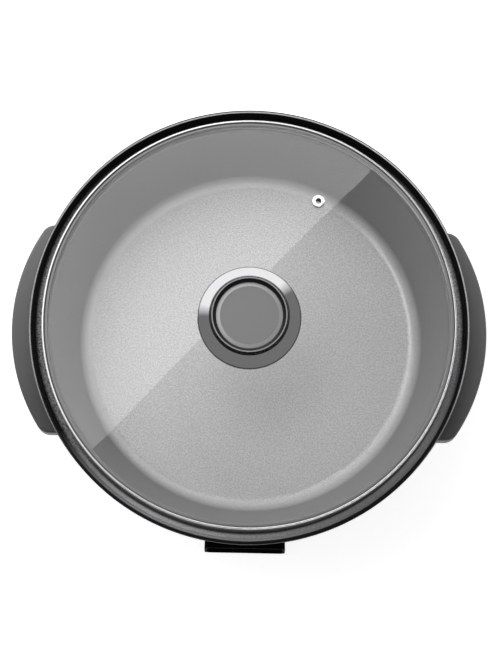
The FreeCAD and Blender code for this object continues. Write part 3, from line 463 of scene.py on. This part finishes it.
def finishRim():
    material, shader = newMaterial("rimSteel")
    height, radius = placeOf(material)[2:]
    lines = spunLines(material, rimSteel)
    low, high = rimSteel["grooveShadeRadius"]
    under = underOf(material, height, lidSteelTop - rimSteel["grooveShadeDepth"])
    bare = mathOf(material, "MAXIMUM", overOf(material, radius, high), under)
    # painted shade: the groove is painted dark
    groove = blendOf(material, underOf(material, radius, low), rimSteel["grooveShade"], rimSteel["fold"])
    steel = blendOf(material, lines, *rimSteel["colour"])
    # painted shade: the outer side under the bead is painted darker
    start, drop = rimSteel["shadeSideStart"]
    outward = overOf(material, radius, start)
    side = timesOf(material, outward, underOf(material, height, lidSteelTop - drop))
    colour = blendOf(material, side, blendOf(material, bare, groove, steel), rimSteel["side"])
    join(material, colour, shader.inputs["Base Color"])
    join(material, timesOf(material, bare, rimSteel["metallic"]), shader.inputs["Metallic"])
    rough = middleOf(material, lines, rimSteel["roughness"])
    rough = mixOf(material, bare, rimSteel["grooveShadeRoughness"], rough)
    join(material, rough, shader.inputs["Roughness"])
    bumpFrom(material, shader, lines, *rimSteel["lineBump"])
    dress(material, "lid_rim")


knobSkirt = {
    "edgeHeight": 0.0022,    # of the upright edge at the skirt's foot
    "edgeRound": 0.0007,     # radius where the edge turns into the flare
    "flare": (28.0, 41.0),       # slope where it leaves the seat and at the edge, degrees
    "bend": 0.005,           # bend between the seat and the flare
    "sheet": 0.0008,
    "hole": 0.0093,
    "steps": 10,             # corners on each run of the section
    "segments": 192,
    "sharp": 30.0,           # edges steeper than this stay sharp, degrees
}
chromePlate = {
    "colour": ((0.76, 0.76, 0.77), (0.84, 0.84, 0.85)),
    "shadeLine": (0.10, 0.10, 0.10),
    "foot": (0.0012, 0.0004),    # in from the edge: bright up to the first, a painted shadow line past the second
    "roughness": (0.04, 0.08),
    "lineNoise": (1800.0, 1.0),
    "lineBump": (0.15, 0.00001),
}


def skirtProfile(low, top, outer):
    # upper face from the foot of the edge to the seat's hole, as (radius, height)
    steps = knobSkirt["steps"]
    edge = knobSkirt["edgeRound"]
    bend = knobSkirt["bend"]
    first, last = [math.radians(angle) for angle in knobSkirt["flare"]]
    upright = math.radians(90)
    points = [(outer, low)]
    for i in range(steps + 1):
        slope = upright + (last - upright) * i / steps
        across = outer - edge + edge * math.sin(slope)
        points.append((across, low + knobSkirt["edgeHeight"] - edge + edge * math.cos(slope)))
    climbs = [math.tan(last + (first - last) * (i + 0.5) / steps) for i in range(steps)]
    step = (top - bend * (1 - math.cos(first)) - points[-1][1]) / sum(climbs)
    for climb in climbs:
        radius, height = points[-1]
        points.append((radius - step, height + step * climb))
    radius = points[-1][0]
    for i in range(1, steps + 1):
        slope = first * (1 - i / steps)
        across = radius - bend * (math.sin(first) - math.sin(slope))
        points.append((across, top - bend * (1 - math.cos(slope))))
    points.append((knobSkirt["hole"], top))
    return points


def spinSkirt():
    # the skirt with its rounder flare, spun from its section
    low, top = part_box("knob_skirt")
    sheet = knobSkirt["sheet"]
    upper = skirtProfile(low.z, top.z, top.x)
    hole = knobSkirt["hole"]
    lower = [(max(radius - sheet, hole), max(height - sheet, low.z)) for radius, height in upper]
    profile = upper + lower[::-1]
    count = knobSkirt["segments"]
    size = len(profile)
    corners = []
    faces = []
    for i in range(count):
        turn = math.tau * i / count
        for radius, height in profile:
            corners.append((radius * math.cos(turn), radius * math.sin(turn), height))
        here = i * size
        there = (i + 1) % count * size
        for k in range(size):
            after = (k + 1) % size
            faces.append((here + k, there + k, there + after, here + after))
    mesh = bpy.data.meshes.new("knobSkirt")
    mesh.from_pydata(corners, [], faces)
    mesh.shade_smooth()
    mesh.set_sharp_from_angle(angle=math.radians(knobSkirt["sharp"]))
    skirt = bpy.data.objects.new("knobSkirt", mesh)
    bpy.context.scene.collection.objects.link(skirt)
    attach(skirt, "lid")
    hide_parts("knob_skirt")
    return mesh


def finishChrome():
    material, shader = newMaterial("chromePlate", Metallic=1.0)
    lines = spunLines(material, chromePlate)
    # painted shadow line round the skirt's foot
    ends = [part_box("knob_skirt")[1].x - inset for inset in chromePlate["foot"]]
    foot = shareOf(material, placeOf(material)[3], ends)
    plate = blendOf(material, lines, *chromePlate["colour"])
    join(material, blendOf(material, foot, plate, chromePlate["shadeLine"]), shader.inputs["Base Color"])
    join(material, middleOf(material, lines, chromePlate["roughness"]), shader.inputs["Roughness"])
    bumpFrom(material, shader, lines, *chromePlate["lineBump"])
    spinSkirt().materials.append(material)


eyeletPlate = {
    "colour": ((0.72, 0.72, 0.73), (0.88, 0.88, 0.88)),
    "roughness": (0.08, 0.2),
    "lumpNoise": (260.0, 1.0),
    "lumpBump": (0.4, 0.0005),
    "bore": (0.012, 0.012, 0.012),
    "boreRadius": 0.0026,    # painted shade inside this
}


def finishEyelet():
    material, shader = newMaterial("eyeletPlate", Metallic=1.0)
    coords = objectCoords(material)
    lumps = noiseOf(material, coords, *eyeletPlate["lumpNoise"])
    level = addNode(material, "ShaderNodeVectorMath", operation="MULTIPLY")
    level.inputs[1].default_value = (1, 1, 0)
    join(material, coords, level.inputs[0])
    low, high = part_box("vent_eyelet")
    middle = ((low.x + high.x) / 2, (low.y + high.y) / 2, 0)
    fromMiddle = distanceOf(material, level.outputs["Vector"], middle)
    # painted shade in the bore
    inBore = underOf(material, fromMiddle, eyeletPlate["boreRadius"])
    plate = blendOf(material, lumps, *eyeletPlate["colour"])
    join(material, blendOf(material, inBore, plate, eyeletPlate["bore"]), shader.inputs["Base Color"])
    join(material, middleOf(material, lumps, eyeletPlate["roughness"]), shader.inputs["Roughness"])
    bumpFrom(material, shader, lumps, *eyeletPlate["lumpBump"])
    dress(material, "vent_eyelet")


# knob

knobBlack = {
    "colour": ((0.003, 0.003, 0.003), (0.007, 0.007, 0.007)),
    "roughness": (0.12, 0.2),
    "gloss": 0.3,
    "grainNoise": (700.0, 3.0),
    "grainBump": (0.1, 0.00003),
    "line": (0.40, 0.40, 0.40),
    "highlightLineRadius": (0.0346, 0.0358),      # painted highlight: a bright line along the crest of the raised lip
    "highlightLineDepth": 0.0008,     # it runs less than this below the knob's top
}


def finishKnob():
    material, shader = newMaterial("knobBlack", Specular_IOR_Level=knobBlack["gloss"])
    height, radius = placeOf(material)[2:]
    grain = noiseOf(material, objectCoords(material), *knobBlack["grainNoise"])
    low, high = knobBlack["highlightLineRadius"]
    # painted highlight on the crest
    onCrest = timesOf(material, overOf(material, radius, low), underOf(material, radius, high))
    line = timesOf(material, onCrest, overOf(material, height, knobTop - knobBlack["highlightLineDepth"]))
    black = blendOf(material, grain, *knobBlack["colour"])
    join(material, blendOf(material, line, black, knobBlack["line"]), shader.inputs["Base Color"])
    join(material, middleOf(material, grain, knobBlack["roughness"]), shader.inputs["Roughness"])
    bumpFrom(material, shader, grain, *knobBlack["grainBump"])
    dress(material, "knob_body", "knob_spacer")


capGrey = {
    "colour": ((0.265, 0.265, 0.265), (0.295, 0.295, 0.295)),
    # painted highlight: the bevel is painted paler than the flat face
    "bevelHighlight": ((0.46, 0.46, 0.46), (0.56, 0.56, 0.56)),
    "bevelHighlightRadius": (0.0276, 0.0280),
    "metallic": 0.25,
    "roughness": (0.4, 0.5),
    "lineNoise": (2200.0, 3.0),
    "lineBump": (0.15, 0.00001),
}


def finishCap():
    material, shader = newMaterial("capGrey", Metallic=capGrey["metallic"])
    lines = spunLines(material, capGrey)
    # painted highlight on the bevel
    bevelHighlight = shareOf(material, placeOf(material)[3], capGrey["bevelHighlightRadius"])
    flat = blendOf(material, lines, *capGrey["colour"])
    edge = blendOf(material, lines, *capGrey["bevelHighlight"])
    join(material, blendOf(material, bevelHighlight, flat, edge), shader.inputs["Base Color"])
    join(material, middleOf(material, lines, capGrey["roughness"]), shader.inputs["Roughness"])
    bumpFrom(material, shader, lines, *capGrey["lineBump"])
    dress(material, "knob_cap")


# mouldings

mouldings = {
    "mottleNoise": (35.0, 4.0, 0.6),
    "grainDetail": 2.0,
    "grainStrength": 0.35,
}
handleLightAndShade = {
    # painted shade down the handle's sides
    "side": (0.018, 0.018, 0.018),
    "shadeDepths": (0.004, 0.0015),   # below the top: painted shade, side's tone past the first, top's own above the second
    "reach": (-0.09, 0.09),      # along Y: painted light, changes from the front's tone to the paler back's
}


def mouldedFinish(name, look):
    material, shader = newMaterial(name, Specular_IOR_Level=look["gloss"])
    coords = objectCoords(material)
    mottle = noiseOf(material, coords, *mouldings["mottleNoise"])
    grain = noiseOf(material, coords, look["grainScale"], mouldings["grainDetail"])
    colour = blendOf(material, mottle, *look["colour"])
    # painted light and shade: paler to the back, darker down the sides
    if "back" in look:
        along, height = placeOf(material)[1:3]
        back = blendOf(material, mottle, *look["back"])
        colour = blendOf(material, shareOf(material, along, handleLightAndShade["reach"]), colour, back)
        levels = [handleTop - depth for depth in handleLightAndShade["shadeDepths"]]
        colour = blendOf(material, shareOf(material, height, levels), handleLightAndShade["side"], colour)
    join(material, colour, shader.inputs["Base Color"])
    join(material, middleOf(material, grain, look["roughness"]), shader.inputs["Roughness"])
    bumpFrom(material, shader, grain, mouldings["grainStrength"], look["grainDepth"])
    dress(material, *look["nodes"])


handleGrey = {
    "colour": ((0.106, 0.106, 0.107), (0.129, 0.129, 0.131)),
    # painted light: paler towards the back
    "back": ((0.217, 0.217, 0.218), (0.249, 0.249, 0.251)),
    "roughness": (0.34, 0.46),
    "grainScale": 900.0,
    "grainDepth": 0.00005,
    "gloss": 0.2,
    "nodes": ["handle_left"],
}
# painted light: a paler copy of the handle's material for the right handle
handleGreyRightLit = dict(
    handleGrey,
    colour=((0.217, 0.217, 0.218), (0.246, 0.246, 0.248)),
    back=((0.233, 0.233, 0.234), (0.265, 0.265, 0.267)),
    nodes=["handle_right"],
)
guardBlack = {
    "colour": ((0.003, 0.003, 0.003), (0.006, 0.006, 0.006)),
    "roughness": (0.70, 0.85),
    "grainScale": 1300.0,
    "grainDepth": 0.00004,
    "gloss": 0.04,
    "nodes": ["socket_guard"],
}
footRubber = {
    "colour": ((0.018, 0.018, 0.018), (0.035, 0.035, 0.035)),
    "roughness": (0.7, 0.85),
    "grainScale": 900.0,
    "grainDepth": 0.00008,
    "gloss": 0.4,
    "nodes": ["foot_pads_left", "foot_pads_right"],
}
ventSilicone = {
    "colour": ((0.04, 0.04, 0.042), (0.06, 0.06, 0.062)),
    "roughness": (0.5, 0.62),
    "grainScale": 1500.0,
    "grainDepth": 0.00003,
    "gloss": 0.4,
    "nodes": ["vent_gasket", "knob_gasket"],
}
steatite = {
    "colour": ((0.66, 0.63, 0.56), (0.78, 0.75, 0.69)),
    "roughness": (0.55, 0.7),
    "grainScale": 1600.0,
    "grainDepth": 0.00004,
    "gloss": 0.5,
    "nodes": ["terminal_insulator_left", "terminal_insulator_right"],
}


def finishMouldings():
    mouldedFinish("handleGrey", handleGrey)
    mouldedFinish("handleGreyRightLit", handleGreyRightLit)
    mouldedFinish("guardBlack", guardBlack)
    mouldedFinish("footRubber", footRubber)
    mouldedFinish("ventSilicone", ventSilicone)
    mouldedFinish("steatite", steatite)


# terminals and fixings

metalGrain = {
    "stainNoise": (60.0, 4.0, 0.6),
    "grainNoise": (1400.0, 2.0),
    "grainBump": (0.25, 0.00002),
}
metals = {
    "elementSheath": {
        "colour": ((0.26, 0.23, 0.20), (0.42, 0.40, 0.37)),
        "roughness": (0.4, 0.55),
        "nodes": ["heating_element"],
    },
    "nickelPin": {
        "colour": ((0.62, 0.60, 0.56), (0.72, 0.70, 0.66)),
        "roughness": (0.16, 0.26),
        "nodes": ["terminal_pin_left", "terminal_pin_right", "probe_sleeve"],
    },
    "sheetSteel": {
        "colour": ((0.48, 0.48, 0.48), (0.60, 0.60, 0.60)),
        "roughness": (0.26, 0.4),
        "nodes": ["earth_plate"],
    },
    "zincScrew": {
        "colour": ((0.50, 0.50, 0.50), (0.62, 0.62, 0.61)),
        "roughness": (0.24, 0.4),
        "nodes": [
            "guard_screws", "handle_screws_left", "handle_screws_right",
            "handle_washers_left", "handle_washers_right", "knob_washer", "knob_screw",
        ],
    },
    "brassNut": {
        "colour": ((0.56, 0.40, 0.16), (0.70, 0.53, 0.26)),
        "roughness": (0.26, 0.4),
        "nodes": ["knob_insert"],
    },
}


def finishMetals():
    for name, look in metals.items():
        material, shader = newMaterial(name, Metallic=1.0)
        coords = objectCoords(material)
        stain = noiseOf(material, coords, *metalGrain["stainNoise"])
        grain = noiseOf(material, coords, *metalGrain["grainNoise"])
        join(material, blendOf(material, stain, *look["colour"]), shader.inputs["Base Color"])
        join(material, middleOf(material, grain, look["roughness"]), shader.inputs["Roughness"])
        bumpFrom(material, shader, grain, *metalGrain["grainBump"])
        dress(material, *look["nodes"])


# stage and light

stageSet = {
    "floorSize": 14.0,
    "floorColour": (0.72, 0.72, 0.72, 1),
    "floorRoughness": 0.9,
    "floorLift": 0.85,       # added where the floor is seen, so that it reads white
}


def layFloor():
    half = stageSet["floorSize"] / 2
    mesh = bpy.data.meshes.new("floor")
    corners = [(-half, -half, 0), (half, -half, 0), (half, half, 0), (-half, half, 0)]
    mesh.from_pydata(corners, [], [(0, 1, 2, 3)])
    floor = bpy.data.objects.new("floor", mesh)
    bpy.context.scene.collection.objects.link(floor)
    material, shader = newMaterial("paleFloor", Specular_IOR_Level=0.0)
    shader.inputs["Base Color"].default_value = stageSet["floorColour"]
    shader.inputs["Roughness"].default_value = stageSet["floorRoughness"]
    ray = addNode(material, "ShaderNodeLightPath")
    seen = plusOf(material, ray.outputs["Is Camera Ray"], ray.outputs["Is Glossy Ray"])
    seen = plusOf(material, seen, ray.outputs["Is Transmission Ray"])
    seen = mathOf(material, "MINIMUM", seen, 1.0)
    shader.inputs["Emission Color"].default_value = (1, 1, 1, 1)
    join(material, timesOf(material, seen, stageSet["floorLift"]), shader.inputs["Emission Strength"])
    mesh.materials.append(material)


softBox = {
    "height": 1.62,
    # points of the bowed front edge, seen from above
    "front": ((-1.14, -0.64), (-0.75, -0.325), (-0.02, 0.410), (0.69, 1.284), (0.95, 1.66)),
    "middle": (0.0, 0.45),   # of the round back edge, seen from above
    "radius": 1.55,
    "steps": 12,             # straight runs between two points of the bowed front edge
    "radiance": 2.2,
}


def bowedEdge():
    # a smooth line through the points of the soft box's front edge, seen from above
    points = [Vector(point) for point in softBox["front"]]
    line = []
    for i in range(len(points) - 1):
        before = points[max(i - 1, 0)]
        after = points[min(i + 2, len(points) - 1)]
        leave = (points[i + 1] - before) / 2
        arrive = (after - points[i]) / 2
        for step in range(softBox["steps"]):
            t = step / softBox["steps"]
            place = points[i] * (2 * t ** 3 - 3 * t ** 2 + 1)
            place += leave * (t ** 3 - 2 * t ** 2 + t)
            place += points[i + 1] * (3 * t ** 2 - 2 * t ** 3)
            place += arrive * (t ** 3 - t ** 2)
            line.append(place)
    return line + [points[-1]]


def roundEdge(start, end, count):
    # the back edge, from the left end of the front edge round to its right end
    middle = Vector(softBox["middle"])
    first = math.atan2(start.y - middle.y, start.x - middle.x) % math.tau
    last = math.atan2(end.y - middle.y, end.x - middle.x)
    line = []
    for i in range(count):
        turn = first + (last - first) * i / (count - 1)
        line.append(middle + Vector((math.cos(turn), math.sin(turn))) * softBox["radius"])
    return line


def hangSoftBox():
    near = bowedEdge()
    count = len(near)
    far = roundEdge(near[0], near[-1], count)
    corners = [(place.x, place.y, softBox["height"]) for place in near + far]
    faces = [(i, i + count, i + count + 1, i + 1) for i in range(count - 1)]
    mesh = bpy.data.meshes.new("softBox")
    mesh.from_pydata(corners, [], faces)
    material, shader = newMaterial("softBox", Base_Color=(0, 0, 0, 1), Roughness=1.0)
    shader.inputs["Specular IOR Level"].default_value = 0.0
    shader.inputs["Emission Color"].default_value = (1, 1, 1, 1)
    shader.inputs["Emission Strength"].default_value = softBox["radiance"]
    mesh.materials.append(material)
    panel = bpy.data.objects.new("softBox", mesh)
    panel.visible_camera = False
    bpy.context.scene.collection.objects.link(panel)


studioSky = {
    "base": 0.19,
    "overhead": 0.16,        # added straight up
    "overheadFrom": (0.86, 0.97),    # sine of the elevation where it starts and where it is full
    "glow": 0.85,            # added low down behind the object
    "glowTurn": -15.0,       # degrees from the back towards the left
    "glowSpread": (64.0, 50.0),      # degrees to either side where it is gone and where it is full
    "glowTop": (0.62, 0.45),     # sine of the elevation where it is gone and where it is full
    "least": 0.0001,         # keeps straight up from dividing by nothing
}


def lightWorld():
    world = bpy.data.worlds.new("studio")
    bpy.context.scene.world = world
    world.use_nodes = True
    coords = addNode(world, "ShaderNodeTexCoord")
    parts = addNode(world, "ShaderNodeSeparateXYZ")
    join(world, coords.outputs["Generated"], parts.inputs[0])
    turn = math.radians(studioSky["glowTurn"])
    aside, behind, height = parts.outputs
    facing = plusOf(world, timesOf(world, aside, math.sin(turn)), timesOf(world, behind, math.cos(turn)))
    flat = opposite(world, timesOf(world, height, height))
    level = mathOf(world, "SQRT", mathOf(world, "MAXIMUM", flat, studioSky["least"]), 0.0)
    facing = mathOf(world, "DIVIDE", facing, level)
    spread = [math.cos(math.radians(angle)) for angle in studioSky["glowSpread"]]
    upward = rangeOf(world, height, *studioSky["glowTop"], 0.0, studioSky["glow"])
    glow = timesOf(world, shareOf(world, facing, spread), upward)
    brightest = studioSky["base"] + studioSky["overhead"]
    overhead = rangeOf(world, height, *studioSky["overheadFrom"], studioSky["base"], brightest)
    strength = plusOf(world, overhead, glow)
    background = world.node_tree.nodes["Background"]
    background.inputs["Color"].default_value = (1, 1, 1, 1)
    join(world, strength, background.inputs["Strength"])


placeCamera()
print("camera placed")
finishPan()
finishGlass()
finishRim()
finishChrome()
finishEyelet()
finishKnob()
finishCap()
finishMouldings()
finishMetals()
print("finishes on")
layFloor()
hangSoftBox()
lightWorld()
bpy.context.scene.view_settings.view_transform = "Standard"
print("stage lit")
